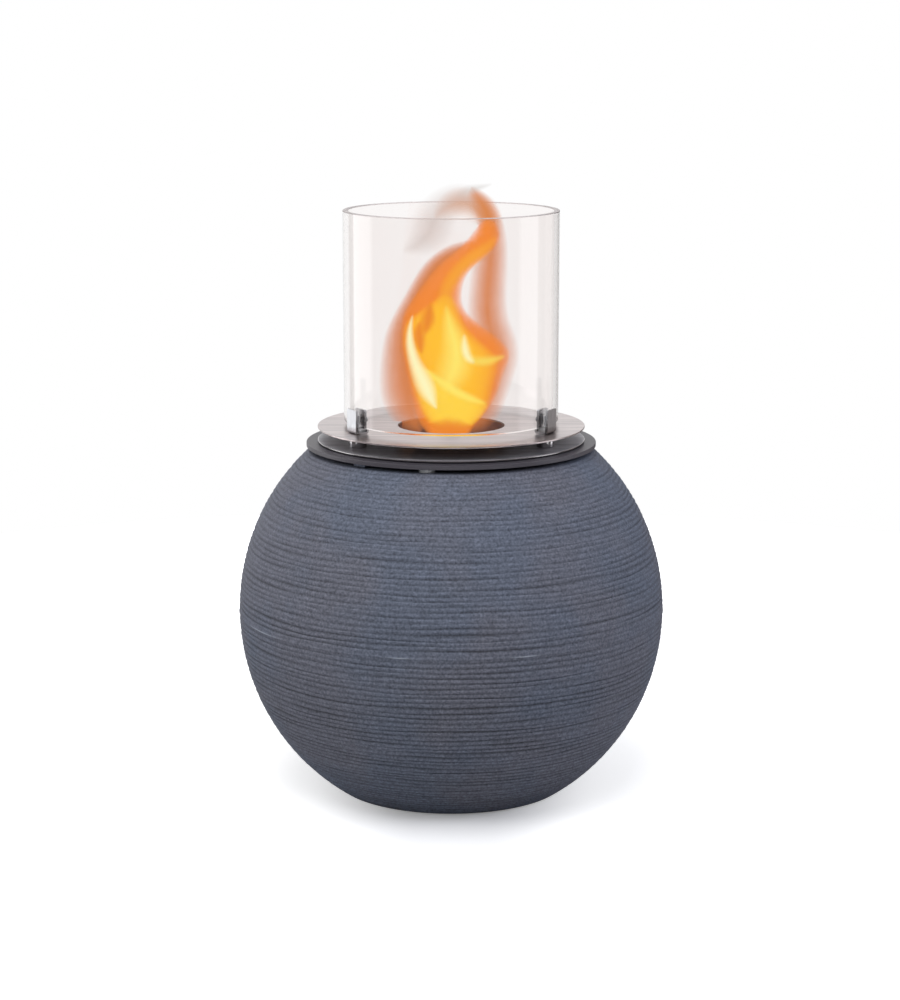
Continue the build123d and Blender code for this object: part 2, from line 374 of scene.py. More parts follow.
def unglazed_ceramic():
    """Matt slate blue clay body with sand grain, painted shade in the grooves and a paler seam."""
    material, tree, out = start_material("unglazed_slate_ceramic")
    place = add_node(tree, "ShaderNodeTexCoord").outputs["Object"]
    depth = add_node(tree, "ShaderNodeAttribute", {"attribute_name": "groove"}).outputs["Fac"]
    grain = add_node(tree, "ShaderNodeTexNoise", {"Scale": 1 / GRAIN, "Detail": 3.0, "Roughness": 0.6},
                     {"Vector": place})
    flattened = add_node(tree, "ShaderNodeMapping", {"Scale": (1.0, 1.0, 5.0)}, {"Vector": place})
    marks = add_node(tree, "ShaderNodeTexNoise", {"Scale": 1 / WIPE_MARKS, "Detail": 4.0, "Roughness": 0.65},
                     {"Vector": flattened.outputs[0]})
    drift = add_node(tree, "ShaderNodeTexNoise", {"Scale": 1 / DRIFT, "Detail": 2.0}, {"Vector": place})
    tone = add_node(tree, "ShaderNodeMapRange", {"From Min": 0.4, "From Max": 0.6},
                    {"Value": drift.outputs["Fac"]})
    clay = add_node(tree, "ShaderNodeMix", {"data_type": "RGBA", 6: linear("#5a606e"), 7: linear("#5f616c")},
                    {0: tone.outputs[0]})
    streak = add_node(tree, "ShaderNodeMapRange",
                      {"From Min": 0.35, "From Max": 0.65, "To Min": 0.9, "To Max": 1.1},
                      {"Value": marks.outputs["Fac"]})
    sand = add_node(tree, "ShaderNodeMapRange",
                    {"From Min": 0.3, "From Max": 0.7, "To Min": 0.62, "To Max": 1.45},
                    {"Value": grain.outputs["Fac"]})
    # Painted shade: the deeper a point lies in a groove, the darker its colour, down to 0.42 of it; the
    # crests are painted a touch lighter.
    groove_shade_curve = add_node(tree, "ShaderNodeMath", {"operation": "POWER", 1: 1.7}, {0: depth})
    shade = add_node(tree, "ShaderNodeMapRange",
                     {"From Min": 0.0, "From Max": 1.0, "To Min": 1.07, "To Max": 0.42},
                     {"Value": groove_shade_curve.outputs[0]})
    speckle = add_node(tree, "ShaderNodeMath", {"operation": "MULTIPLY"},
                       {0: streak.outputs[0], 1: sand.outputs[0]})
    factor = add_node(tree, "ShaderNodeMath", {"operation": "MULTIPLY"},
                      {0: speckle.outputs[0], 1: shade.outputs[0]})
    grained_and_groove_shaded = add_node(tree, "ShaderNodeVectorMath", {"operation": "SCALE"},
                      {0: clay.outputs[2], "Scale": factor.outputs[0]})
    # Painted highlight together with scuffs: the seam turns pale towards #b9c0ca in a few places.
    rubbed = add_node(tree, "ShaderNodeAttribute", {"attribute_name": "rubbed"}).outputs["Fac"]
    colour = add_node(tree, "ShaderNodeMix", {"data_type": "RGBA", 7: linear("#b9c0ca")},
                      {0: rubbed, 6: grained_and_groove_shaded.outputs[0]})
    bump = add_node(tree, "ShaderNodeBump", {"Strength": 0.5, "Distance": 0.35 * MM},
                    {"Height": grain.outputs["Fac"]})
    relief = add_node(tree, "ShaderNodeBump", {"Strength": 0.6, "Distance": 0.6 * MM},
                      {"Height": marks.outputs["Fac"], "Normal": bump.outputs[0]})
    rough = add_node(tree, "ShaderNodeMapRange", {"To Min": 0.62, "To Max": 0.78},
                     {"Value": grain.outputs["Fac"]})
    surface = add_node(tree, "ShaderNodeBsdfPrincipled", {"IOR": 1.5, "Specular IOR Level": 0.35},
                       {"Base Color": colour.outputs[2], "Roughness": rough.outputs[0],
                        "Normal": relief.outputs[0]})
    tree.links.new(surface.outputs[0], out.inputs["Surface"])
    return material


ceramic = unglazed_ceramic()
print("the ceramic has", len(ceramic.node_tree.nodes), "nodes")

# %% [markdown]
# The globe's sizes come from the frame where its boxes give them, and else from the same drawing as the
# solid model. The side is an ellipse seen from the front, cut flat at the foot and at the shoulder.

# %% Globe: sizes
globe_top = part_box("globe_shell")[1].z
GLOBE_RADIUS = 200 * MM
GLOBE_HALF_HEIGHT = 203 * MM
FOOT_RADIUS = 107 * MM
SHOULDER_RADIUS = 132 * MM
MOUTH_RADIUS = 115 * MM
LIP_THICKNESS = 6 * MM
SHOULDER_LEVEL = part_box("cover_bumpers")[0].z
CENTRE_LEVEL = GLOBE_HALF_HEIGHT * math.sqrt(1 - (FOOT_RADIUS / GLOBE_RADIUS) ** 2)
FOOT_ANGLE = -math.acos(FOOT_RADIUS / GLOBE_RADIUS)
SHOULDER_ANGLE = math.acos(SHOULDER_RADIUS / GLOBE_RADIUS)
print("the globe is", round(2 * GLOBE_RADIUS / MM), "mm across and", round(globe_top / MM), "mm high")

# %% [markdown]
# The ribs are what the eye sees first: about seventy-five of them from foot to shoulder, each five
# millimetres high, wavy, of uneven depth and running into each other here and there. Drawing them with
# a bump map would leave the outline smooth, so they are built. Rows of points follow every rib: one row
# lies in the groove, one on each flank and one on the crest.

# %% Globe: rows of points
RIB_PITCH = 4.8 * MM
RIB_SECTION = ((0.0, 1.0), (0.24, 0.42), (0.52, 0.0), (0.78, 0.36))   # place in the pitch, share of the depth
SEAM_HALF_WIDTH = 0.8 * MM
SEAM_HEIGHT = 0.35 * MM
RIBS = round((SHOULDER_ANGLE - FOOT_ANGLE) * GLOBE_RADIUS / RIB_PITCH)


def rib_rows():
    """(angle up the side, share of the groove's depth, rib number, height of the seam) for every row."""
    rows = []
    for rib in range(RIBS):
        for share, depth in RIB_SECTION:
            angle = FOOT_ANGLE + (SHOULDER_ANGLE - FOOT_ANGLE) * (rib + share) / RIBS
            rows.append((angle, depth, rib, 0.0))
    seam_half = SEAM_HALF_WIDTH / GLOBE_RADIUS
    rows = [r for r in rows if abs(r[0]) > 2 * seam_half]
    rows += [(-seam_half, 0.3, 0, 0.0), (0.0, 0.0, 0, SEAM_HEIGHT), (seam_half, 0.3, 0, 0.0)]
    return sorted(rows)


print(RIBS, "ribs in", len(rib_rows()), "rows of points")

# %% [markdown]
# Noise moves the rows up and down and lets the grooves fade and deepen around the globe. Beside the
# mould line and at both ends the rows run straight, so that the edges stay round. The grooves are deeper
# towards the foot.

# %% Globe: wavy ribs
RIB_DEPTH = 1.25 * MM
RIB_WANDER = 0.45                          # of the pitch
MEAN_DEPTH, DEPTH_SWING = 0.9, 0.55        # of the groove's depth, around the globe
WEAKEST, STRONGEST = 0.4, 1.25
DEPTH_AT_FOOT, DEPTH_LOSS = 1.12, 0.45     # the loss is from the foot to the shoulder
LUMP_HEIGHT = 0.22 * MM
CREST_RISE = 0.45 * MM                     # the crests stand this far outside the plain side
CALM_BESIDE_SEAM = 6 * MM
CALM_ENDS = 12                             # the waves fade in over a twelfth of the side
LOWEST_RIB = 0.3 * MM                      # above the floor
# Places where the seam is painted paler: scuffs together with a painted highlight.
SEAM_SCUFF_AND_HIGHLIGHT_PLACES = [(-13, 2.5), (19, 3), (-60, 7), (152, 5)]      # degrees from the front, and half width
SEAM_SCUFF_AND_HIGHLIGHT_SHARE = 0.55


def around(flat, waves, shift, rib, step):
    """Noise with so many waves per metre around the globe, which changes by a step from rib to rib."""
    return noise.noise(flat * waves + Vector((*shift, rib * step)))


def globe_point(angle, turn, depth_share, rib, seam):
    """A point on the ribbed side, and how deep in a groove it lies."""
    across = Vector((math.cos(turn), math.sin(turn), 0))
    flat = across * GLOBE_RADIUS
    upness = (angle - FOOT_ANGLE) / (SHOULDER_ANGLE - FOOT_ANGLE)
    edge_fade = min(1, CALM_ENDS * upness, CALM_ENDS * (1 - upness))
    seam_fade = min(1, abs(angle) * GLOBE_RADIUS / CALM_BESIDE_SEAM)
    wander = around(flat, 7, (0, 0), rib, 0.45) + 0.5 * around(flat, 19, (5, 0), rib, 0.9)
    angle += RIB_WANDER * RIB_PITCH / GLOBE_RADIUS * wander * edge_fade * seam_fade
    strength = MEAN_DEPTH + DEPTH_SWING * around(flat, 13, (0, 7), rib, 3.1)
    strength = max(WEAKEST, min(STRONGEST, strength)) * (DEPTH_AT_FOOT - DEPTH_LOSS * upness)
    depth = RIB_DEPTH * depth_share * strength
    lump = LUMP_HEIGHT * around(flat, 60, (0, 3), rib, 1.7)
    side = seam - depth + lump * edge_fade + CREST_RISE
    radius = (GLOBE_RADIUS + side) * math.cos(angle)
    level = CENTRE_LEVEL + (GLOBE_HALF_HEIGHT + side) * math.sin(angle)
    return across * radius + Vector((0, 0, max(level, LOWEST_RIB))), depth_share * strength


def seam_scuff_and_highlight_share(turn, seam):
    """How pale the seam is painted here, in a few places: scuffs together with a painted highlight."""
    front = math.degrees(turn) + 90
    away = [((front - at + 180) % 360 - 180) / width for at, width in SEAM_SCUFF_AND_HIGHLIGHT_PLACES]
    return SEAM_SCUFF_AND_HIGHLIGHT_SHARE * sum(math.exp(-a * a) for a in away) if seam else 0.0


print("the grooves are up to", round(RIB_DEPTH * STRONGEST * DEPTH_AT_FOOT / MM, 1), "mm deep")

# %% [markdown]
# The rows are joined to one skin, from the middle of the foot up the side, over the shoulder and down
# into the mouth. The two values that the colour needs are kept with every point.

# %% Globe: the outside
COLUMNS = 312      # as many as fit in two hundred thousand triangles
FOOT_OPENING = 20 * MM     # the underside is left open within this radius, where it stands on the floor


def ribbed_globe():
    """The outside of the globe with its foot, shoulder and mouth."""
    turns = turns_of(COLUMNS)
    calm = [0.0] * COLUMNS
    foot = [(FOOT_OPENING, 0.0), (FOOT_RADIUS - 5 * MM, 0.0), (FOOT_RADIUS - 1.5 * MM, 0.15 * MM)]
    shoulder = [(SHOULDER_RADIUS - 2 * MM, SHOULDER_LEVEL), (MOUTH_RADIUS + 2 * MM, SHOULDER_LEVEL),
                (MOUTH_RADIUS, SHOULDER_LEVEL - 1.5 * MM), (MOUTH_RADIUS, SHOULDER_LEVEL - LIP_THICKNESS)]
    rows = [(level_ring(radius, height, turns), calm, calm) for radius, height in foot]
    for angle, depth_share, rib, seam in rib_rows():
        made = [globe_point(angle, a, depth_share, rib, seam) for a in turns]
        rows.append(([point for point, depth in made], [depth for point, depth in made],
                     [seam_scuff_and_highlight_share(a, seam) for a in turns]))
    rows += [(level_ring(radius, height, turns), calm, calm) for radius, height in shoulder]
    piece = skin_piece("globe_ribbed", [row[0] for row in rows], ceramic, "globe", caps=False)
    for name, column in (("groove", 1), ("rubbed", 2)):
        values = [value for row in rows for value in row[column]]
        piece.data.attributes.new(name, "FLOAT", "POINT").data.foreach_set("value", values)
    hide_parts("globe_shell")
    print("globe_ribbed has", len(piece.data.polygons), "faces")


ribbed_globe()

# %% [markdown]
# The real globe is a hollow shell. Its core leaves the inside plainer than the outside: a cone, a straight
# stretch and a cone again, with well-rounded corners. The wall is turned like a pin, which is the short
# way, but a pin has closed ends: a flat face lies across the mouth, six millimetres down. It is hidden
# under the cover plate, and it would have to come out for a look inside.

# %% Globe: the inside
INSIDE_RADIUS = 183.6 * MM
INSIDE_STRAIGHT = 71 * MM      # half the height of the straight stretch
INSIDE_FLOOR_RADIUS = 111 * MM
INSIDE_EASE = 14 * MM


def globe_inside(steps=8):
    """The smooth inner wall, from the mouth down to the floor of the shell, closed at both ends."""
    top = (MOUTH_RADIUS, SHOULDER_LEVEL - LIP_THICKNESS)
    floor_middle = (1 * MM, LIP_THICKNESS)
    corners = [top, (INSIDE_RADIUS, CENTRE_LEVEL + INSIDE_STRAIGHT),
               (INSIDE_RADIUS, CENTRE_LEVEL - INSIDE_STRAIGHT), (INSIDE_FLOOR_RADIUS, LIP_THICKNESS),
               floor_middle]
    wall = eased(corners, INSIDE_EASE, steps)[steps + 1:-(steps + 1)]
    piece = turned_piece("globe_inside", [top] + wall + [floor_middle], ceramic, "globe", sides=96,
                         ring_shaped=False)


globe_inside()
print("the wall is", round((GLOBE_RADIUS - INSIDE_RADIUS) / MM, 1), "mm thick at its widest place")

# %% [markdown]
# Three lugs on the shoulder carry the cover plate and leave a dark gap under it. They are cast with the
# globe, so their edges are rounded as clay's are.

# %% Globe: lugs
LUG_LENGTH = 9 * MM
LUG_WIDTH = 13.5 * MM
LUG_EASE = 0.8 * MM
LUG_FROM_SHOULDER = 6 * MM     # from the shoulder's edge to the lug's middle
LUG_TURNS = [math.radians(-90 - 39.5 + third) for third in (0, 120, 240)]


def rounded_block(name, centre, turn, size, ease, material, body):
    """A small block with eased edges, turned to face away from the axis."""
    half = Vector(size) / 2
    outline = eased([(-half.x, -half.y), (half.x, -half.y), (half.x, half.y), (-half.x, half.y)], ease)
    away = Vector((math.cos(turn), math.sin(turn), 0))
    along = Vector((-math.sin(turn), math.cos(turn), 0))
    levels = ((-half.z, 0.0), (half.z - ease, 0.0), (half.z - 0.3 * ease, 0.3 * ease), (half.z, ease))
    rings = []
    for height, inset in levels:
        scale_x, scale_y = 1 - inset / half.x, 1 - inset / half.y
        rings.append([Vector(centre) + away * (p[0] * scale_x) + along * (p[1] * scale_y)
                      + Vector((0, 0, height)) for p in outline])
    piece = skin_piece(name, rings, material, body)
    flat_shading_on_flats(piece)
    return piece


gap_height = globe_top - SHOULDER_LEVEL
for number, turn in enumerate(LUG_TURNS, 1):
    middle = (SHOULDER_RADIUS - LUG_FROM_SHOULDER) * Vector((math.cos(turn), math.sin(turn), 0))
    middle.z = SHOULDER_LEVEL + gap_height / 2
    lug = rounded_block(f"globe_lug_{number}", middle, turn, (LUG_LENGTH, LUG_WIDTH, gap_height), LUG_EASE,
                        ceramic, "globe")
print("gap under the cover plate", round(gap_height / MM, 1), "mm")

# %% [markdown]
# The painted plate has a coat of powder paint, baked until it flows. It never gets quite flat: a fine
# orange-peel pattern stays in it and softens what it mirrors. Its edges are bevelled, and each bevel
# catches a line of light. The same recipe, with other numbers, serves for several plain materials.

# %% Material and piece: powder-coated cover plate
CUP_RADIUS = 50.8 * MM
CUP_HOLE_RADIUS = CUP_RADIUS + 1 * MM


def metal_like(name, colours, roughness, metallic, bump_size, bump_height, settings=None):
    """A surface of nearly one colour with a fine all-over unevenness worked out from its real size."""
    material, tree, out = start_material(name)
    place = add_node(tree, "ShaderNodeTexCoord").outputs["Object"]
    peel = add_node(tree, "ShaderNodeTexNoise", {"Scale": 1 / bump_size, "Detail": 2.0}, {"Vector": place})
    dull = add_node(tree, "ShaderNodeMapRange", {"To Min": roughness * 0.85, "To Max": roughness * 1.15},
                    {"Value": peel.outputs["Fac"]})
    tint = add_node(tree, "ShaderNodeMix",
                    {"data_type": "RGBA", 6: linear(colours[0]), 7: linear(colours[1])},
                    {0: peel.outputs["Fac"]})
    bump = add_node(tree, "ShaderNodeBump", {"Strength": 0.4, "Distance": bump_height},
                    {"Height": peel.outputs["Fac"]})
    surface = add_node(tree, "ShaderNodeBsdfPrincipled", {"Metallic": metallic} | (settings or {}),
                       {"Base Color": tint.outputs[2], "Roughness": dull.outputs[0],
                        "Normal": bump.outputs[0]})
    tree.links.new(surface.outputs[0], out.inputs["Surface"])
    return material


def ring_outline(inner, outer, low, high, ease, steps=4):
    """The eased outline of a flat ring."""
    return eased([(inner, low), (outer, low), (outer, high), (inner, high)], ease, steps)


def ring_from_node(node, inner, name, material, body, ease, sides=256):
    """A turned ring with the node's own outside and height, in place of the node."""
    low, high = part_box(node)
    outline = ring_outline(inner, (high.x - low.x) / 2, low.z, high.z, ease)
    piece = turned_piece(name, outline, material, body, sides=sides)
    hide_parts(node)
    print(name, "is", round((high.x - low.x) / MM, 1), "mm across")
    return piece


powder = metal_like("baked_powder_coat", ("#403d44", "#48454b"), 0.42, 0.0, 0.9 * MM, 0.05 * MM)
ring_from_node("cover_plate", CUP_HOLE_RADIUS, "cover_plate_turned", powder, "cover",
               0.7 * MM)

# %% [markdown]
# Stainless steel is one alloy with several faces. The upper disc is drawn under an abrasive belt, which
# leaves fine parallel scratches: it still mirrors what stands on it, but smears it. The scratches run
# from left to right. The lower disc, the flange, has a duller satin face and a rim that is polished on
# a wheel until it mirrors.

# %% Materials and pieces: the two steel discs
SCRATCH = 8 * MM       # widest brushed streaks, much coarser than the 0.05 mm scratches, so that they show
DISC_BORE_RADIUS = 50 * MM
POLISHED_FROM = 124.3 * MM


def brushed_steel(name, colours, scratch, roughness, along=(0.08, 1.0, 1.0), metallic=1.0):
    """Stainless steel with parallel scratches along one axis."""
    material, tree, out = start_material(name)
    place = add_node(tree, "ShaderNodeTexCoord").outputs["Object"]
    drawn = add_node(tree, "ShaderNodeMapping", {"Scale": along}, {"Vector": place})
    streaks = add_node(tree, "ShaderNodeTexNoise", {"Scale": 1 / scratch, "Detail": 5.0, "Roughness": 0.7},
                       {"Vector": drawn.outputs[0]})
    cast = add_node(tree, "ShaderNodeMapRange", {"From Min": 0.3, "From Max": 0.7},
                    {"Value": streaks.outputs["Fac"]})
    tint = add_node(tree, "ShaderNodeMix",
                    {"data_type": "RGBA", 6: linear(colours[0]), 7: linear(colours[1])},
                    {0: cast.outputs[0]})
    rough = add_node(tree, "ShaderNodeMapRange", {"To Min": roughness * 0.7, "To Max": roughness * 1.4},
                     {"Value": streaks.outputs["Fac"]})
    bump = add_node(tree, "ShaderNodeBump", {"Strength": 0.25, "Distance": 0.05 * MM},
                    {"Height": streaks.outputs["Fac"]})
    surface = add_node(tree, "ShaderNodeBsdfPrincipled", {"Metallic": metallic},
                       {"Base Color": tint.outputs[2], "Roughness": rough.outputs[0],
                        "Normal": bump.outputs[0]})
    tree.links.new(surface.outputs[0], out.inputs["Surface"])
    return material


polished = metal_like("polished_stainless", ("#b9b7b8", "#c6c4c6"), 0.12, 1.0, 6 * MM, 0.02 * MM)
brushed = brushed_steel("brushed_stainless_disc", ("#a79d9d", "#e2d8d7"), SCRATCH, 0.30)
satin = brushed_steel("satin_stainless_flange", ("#8a888e", "#d2d0d5"), SCRATCH, 0.44, metallic=0.5)
flange = ring_from_node("burner_flange", CUP_HOLE_RADIUS, "flange_satin", satin, "burner",
                        0.4 * MM)
flange.data.materials.append(polished)
for face in flange.data.polygons:
    if face.center.xy.length > POLISHED_FROM:
        face.material_index = 1
ring_from_node("top_disc", DISC_BORE_RADIUS, "top_disc_brushed", brushed, "burner",
               0.45 * MM)

# %% [markdown]
# Three turned standoffs hold the two discs apart. A turned part always has a small chamfer at each end,
# because the lathe tool breaks the edge, and that chamfer shows as a bright ring.


# %% Standoffs
def pin_from_node(node, name, material, body, ease, steps=3):
    """A turned solid pin with the node's own size, in place of the node."""
    low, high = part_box(node)
    middle = (low + high) / 2
    radius = (high.x - low.x) / 2
    corners = [(0, low.z), (radius, low.z), (radius, high.z), (0, high.z)]
    side = eased(corners, ease, steps)[steps + 1:-(steps + 1)]     # without the corners on the axis
    outline = [(0.2 * MM, low.z)] + side + [(0.2 * MM, high.z)]
    piece = turned_piece(name, outline, material, body, centre=(middle.x, middle.y), sides=64,
                         ring_shaped=False)
    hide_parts(node)
    print(name, "is", round(2 * radius / MM, 1), "mm across")


THREE_PLACES = ("front_left", "front_right", "rear")
for place in THREE_PLACES:
    pin_from_node(f"standoff_{place}", f"standoff_{place}_turned", polished, "burner",
                  0.6 * MM)

# %% [markdown]
# The clips are strips of sheet, punched and folded into a U. A real fold is round, and a punched edge
# keeps a small burr-free bevel after tumbling. The solid model has the folds already, so here a bevel
# modifier only breaks the sharp edges. The sheet keeps the rolling marks, which stand upright.

# %% Clips
ROLLING_MARKS = 0.5 * MM
clip_steel = brushed_steel("tumbled_clip_steel", ("#8f9094", "#c9cacd"), ROLLING_MARKS, 0.18,
                           along=(1.0, 1.0, 0.05))
clip_nodes = [f"glass_clip_{place}" for place in THREE_PLACES]
for node in clip_nodes:
    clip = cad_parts[node]
    clip.material_slots[0].material = clip_steel
    bevel = clip.modifiers.new("broken_edges", "BEVEL")
    bevel.width = 0.3 * MM
    bevel.segments = 3
    bevel.limit_method = "ANGLE"
    bevel.angle_limit = math.radians(40)
    bevel.harden_normals = True
print("clips:", clip_nodes)

# %% [markdown]
# A small set screw in the inner arm of each clip presses a soft tip against the glass, so that it can't
# rattle. It has a hexagon socket at the inner end. The thread is drawn as plain ridges and not as a
# helix, which nobody can tell apart at five millimetres across.

# %% Set screws
SCREW_HEIGHT = 12.5 * MM       # above the clip's foot
SCREW_INNER, SCREW_OUTER = 88.4 * MM, 94.8 * MM     # distance of both ends from the axis
SCREW_RADIUS = 2.5 * MM
SCREW_PITCH = 0.8 * MM
SOCKET_HALF_WIDTH = 1.25 * MM
SOCKET_DEPTH = 2 * MM
RIM_SHARE, GROOVE_SHARE, TIP_SHARE = 0.84, 0.86, 0.7      # of the radius


def set_screw(name, clip, sides=24):
    """A threaded pin that lies along the radius through the middle of the clip's box."""
    low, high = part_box(clip)
    away = Vector(((low.x + high.x) / 2, (low.y + high.y) / 2, 0)).normalized()
    along = Vector((-away.y, away.x, 0))
    turns = turns_of(sides)
    sixth = math.pi / 3
    hexagon = [SOCKET_HALF_WIDTH / math.cos((a + sixth / 2) % sixth - sixth / 2) for a in turns]
    ridges = round((SCREW_OUTER - SCREW_INNER) / SCREW_PITCH)
    profile = [(SCREW_INNER + SOCKET_DEPTH, hexagon), (SCREW_INNER, hexagon),
               (SCREW_INNER, [SCREW_RADIUS * RIM_SHARE] * sides)]
    for ridge in range(ridges):
        at = SCREW_INNER + (SCREW_OUTER - SCREW_INNER) * (ridge + 0.5) / ridges
        profile.append((at, [SCREW_RADIUS] * sides))
        profile.append((at + SCREW_PITCH / 2, [SCREW_RADIUS * GROOVE_SHARE] * sides))
    profile[-1] = (SCREW_OUTER, [SCREW_RADIUS * TIP_SHARE] * sides)
    axis_level = low.z + SCREW_HEIGHT
    rings = [[away * at + along * (r * math.cos(a)) + Vector((0, 0, axis_level + r * math.sin(a)))
              for r, a in zip(radii, turns)] for at, radii in profile]
    screw = skin_piece(name, rings, clip_steel, "burner", smooth=False)
    print(name, "has", ridges, "ridges")


for node in clip_nodes:
    set_screw(node.replace("glass_clip", "set_screw"), node)

# %% [markdown]
# The fuel cup is deep-drawn from thin sheet. Its wall is painted in patches of straw and brown: heat stain
# together with a painted warm reflection of the flame. It holds a pad of ceramic fibre that soaks up the
# alcohol so that none can spill.

# %% Cup and fibre
CUP_SHEET = 0.8 * MM


def clouded(name, colours, patch, detail, settings):
    """A smooth surface whose colour drifts between two tones in patches of a real size."""
    material, tree, out = start_material(name)
    place = add_node(tree, "ShaderNodeTexCoord").outputs["Object"]
    patches = add_node(tree, "ShaderNodeTexNoise", {"Scale": 1 / patch, "Detail": detail}, {"Vector": place})
    tint = add_node(tree, "ShaderNodeMix",
                    {"data_type": "RGBA", 6: linear(colours[0]), 7: linear(colours[1])},
                    {0: patches.outputs["Fac"]})
    surface = add_node(tree, "ShaderNodeBsdfPrincipled", settings, {"Base Color": tint.outputs[2]})
    tree.links.new(surface.outputs[0], out.inputs["Surface"])
    return material


# Painted reflection with heat stain: the brownish tones also stand in for the flame's warm reflection.
stain_and_flame_reflection = clouded("drawn_steel_stain_and_flame_reflection", ("#9a6c48", "#c9986e"), 14 * MM, 4.0,
                       {"Metallic": 1.0, "Roughness": 0.35})
cup_low, cup_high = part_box("fuel_cup")
cup_inside = CUP_RADIUS - CUP_SHEET
cup_outline = eased([(1 * MM, cup_low.z), (CUP_RADIUS, cup_low.z), (CUP_RADIUS, cup_high.z),
                     (cup_inside, cup_high.z), (cup_inside, cup_low.z + CUP_SHEET),
                     (1 * MM, cup_low.z + CUP_SHEET)], 0.3 * MM, 3)
cup = turned_piece("fuel_cup_drawn", cup_outline, stain_and_flame_reflection, "burner", sides=128)
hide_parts("fuel_cup")
wool = metal_like("ceramic_wool", ("#b9a692", "#d8cfc4"), 0.9, 0.0, 2.2 * MM, 0.8 * MM)
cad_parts["ceramic_fibre"].material_slots[0].material = wool
print("the cup is", round((cup_high.z - cup_low.z) / MM), "mm deep")

# %% [markdown]
# The glass cylinder is cut from a borosilicate tube. The cut ends are ground flat and their edges are
# melted round in a flame. The wall nearly disappears, but the ground end scatters light, so that the rim
# shows as a thin grey line.

# %% Glass
GLASS_WALL = 5 * MM
GLASS_EASE = 1.2 * MM
GROUND_BELOW_TOP = 0.7 * MM
clear_glass = clouded("borosilicate_glass", ("#fbf7f6", "#fbf9f8"), 60 * MM, 1.0,
                      {"Roughness": 0.0, "IOR": 1.47, "Transmission Weight": 1.0})
ground_glass = clouded("ground_glass_edge", ("#aaa09f", "#cfc5c3"), 1.5 * MM, 2.0,
                       {"Roughness": 0.35, "Transmission Weight": 0.35, "IOR": 1.47})
glass_low, glass_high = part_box("glass_cylinder")
glass_radius = (glass_high.x - glass_low.x) / 2
glass_shape = ring_outline(glass_radius - GLASS_WALL, glass_radius, glass_low.z, glass_high.z, GLASS_EASE, 5)
glass = turned_piece("glass_fire_polished", glass_shape, clear_glass, "glass", sides=256)
glass.data.materials.append(ground_glass)
for face in glass.data.polygons:
    if face.center.z > glass_high.z - GROUND_BELOW_TOP:
        face.material_index = 1
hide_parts("glass_cylinder")
print("the glass is", round(2 * glass_radius / MM, 1), "mm across")

# %% [markdown]
# Silicone is used where something would rattle or scratch: clear bumpers between the globe and the
# plate, black pads between the plate and the flange, and clear pads where the glass rests. These parts
# keep the solid model's shapes and only get their material.

# %% Silicone parts and tabs
clear_silicone = metal_like("clear_silicone", ("#eef0f4", "#f4f5f8"), 0.15, 0.0, 5 * MM, 0.05 * MM,
                            {"Transmission Weight": 0.6, "IOR": 1.41})
black_silicone = metal_like("black_silicone", ("#1b1b1c", "#232324"), 0.5, 0.0, 1 * MM, 0.05 * MM)
for node, material in (("cover_bumpers", clear_silicone), ("rest_pads", clear_silicone),
                       ("side_pads", clear_silicone), ("flange_pads", black_silicone),
                       ("cover_tabs", powder)):
    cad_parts[node].material_slots[0].material = material
    print(node, "is", material.name)

# %% [markdown]
# The flame is glowing gas, so it is made as volumes and not as skins. Where the gas is thick it hides
# what lies behind it, and towards its edge it thins out to nothing, which gives the soft edge for free.
# A volume that absorbs and gives out light at the same rate takes on exactly the colour of its light
# where it is thick.


# %% Flame: glowing gas
def glowing_gas(name, colour, density, strength=1.0):
    """A volume that hides what is behind it and glows in one colour."""
    material, tree, out = start_material(name)
    soak = add_node(tree, "ShaderNodeVolumeAbsorption", {"Color": (0, 0, 0, 1), "Density": density})
    glow = add_node(tree, "ShaderNodeEmission", {"Color": linear(colour), "Strength": density * strength})
    both = add_node(tree, "ShaderNodeAddShader", links={0: soak.outputs[0], 1: glow.outputs[0]})
    tree.links.new(both.outputs[0], out.inputs["Volume"])
    return material


def soft_round(softness, sides):
    """Points on a round section of size one; more softness draws its ends out into thin edges."""
    pairs = [(math.cos(a), math.sin(a)) for a in turns_of(sides)]
    return [(math.copysign(abs(c) ** softness, c), math.copysign(abs(s) ** softness, s)) for c, s in pairs]


print("half a millimetre of gas with density 300 lets through", round(math.exp(-300 * 0.5 * MM), 2))

# %% [markdown]
# Each piece of the flame is a closed shape with a lens-like section. Its outline is seen from the front,
# in millimetres from the axis and above the floor. The pieces lie in layers from back to front. The
# layers close up at the foot and at the tip and sway a little, so that the flame looks like one from the
# side too.

# %% Flame: strands and tongues
FLAME_FOOT, FLAME_TIP = 332, 568      # heights in millimetres
FLAME_SWAY = 5                        # millimetres from front to back
SWAY_TURN = 5                         # how far the sway's wave gets from foot to tip, in radians
SPREAD_AT_ENDS, SPREAD_BETWEEN = 0.45, 0.55
SPREAD_SKEW = 0.6                     # below one: the layers are widest apart below the middle
END_START, END_RISE = 0.3, 2.3        # points; a strand starts thin and is at its full depth at the third
FULL_DEPTH_HALF_WIDTH = 30            # millimetres; narrower places are thinner too


def layer_place(height, behind):
    """Where a layer lies from front to back at this height."""
    up = min(1, max(0, (height - FLAME_FOOT) / (FLAME_TIP - FLAME_FOOT)))
    spread = SPREAD_AT_ENDS + SPREAD_BETWEEN * math.sin(math.pi * up ** SPREAD_SKEW)
    return behind * spread + FLAME_SWAY * math.sin(SWAY_TURN * up)


def gas_piece(name, rings, material):
    """A smooth closed flame piece. It is kept out of mirror images, as in the photograph."""
    piece = skin_piece(name, rings, material, "burner")
    smoother = piece.modifiers.new("smooth_flow", "SUBSURF")
    smoother.levels = smoother.render_levels = 2
    piece.visible_glossy = False
    return piece


